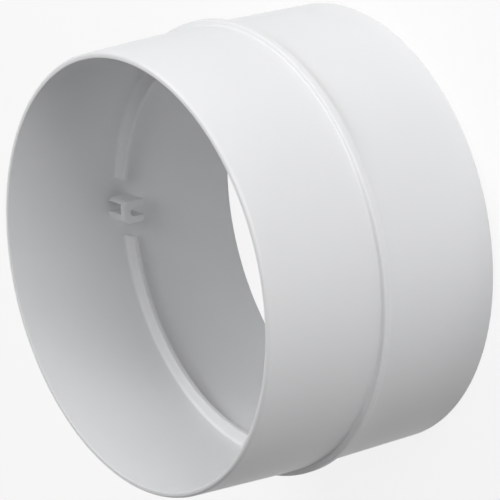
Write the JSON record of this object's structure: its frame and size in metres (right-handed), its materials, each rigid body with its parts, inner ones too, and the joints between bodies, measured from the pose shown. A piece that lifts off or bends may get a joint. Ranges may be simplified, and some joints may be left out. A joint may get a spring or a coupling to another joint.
{
  "type": "duct adapter",
  "caption": "Straight round duct connector: push-fit spigots either side of a stop bead, with half-ring stops and spindle seats inside for a damper blade.",
  "frame": {"origin": "centre of the lower rim, on the plane that the part stands on", "axes": "+Z along the duct axis, from the lower rim to the upper one that the spindle seats are closed towards; Y along the damper's spindle line; +X on the side of the upper half-ring stop"},
  "size_m": [0.1026, 0.1026, 0.061],
  "materials": {
    "body": "semi-gloss moulded white plastic"
  },
  "bodies": {
    "root": {"connector": "body"}
  },
  "joints": []
}
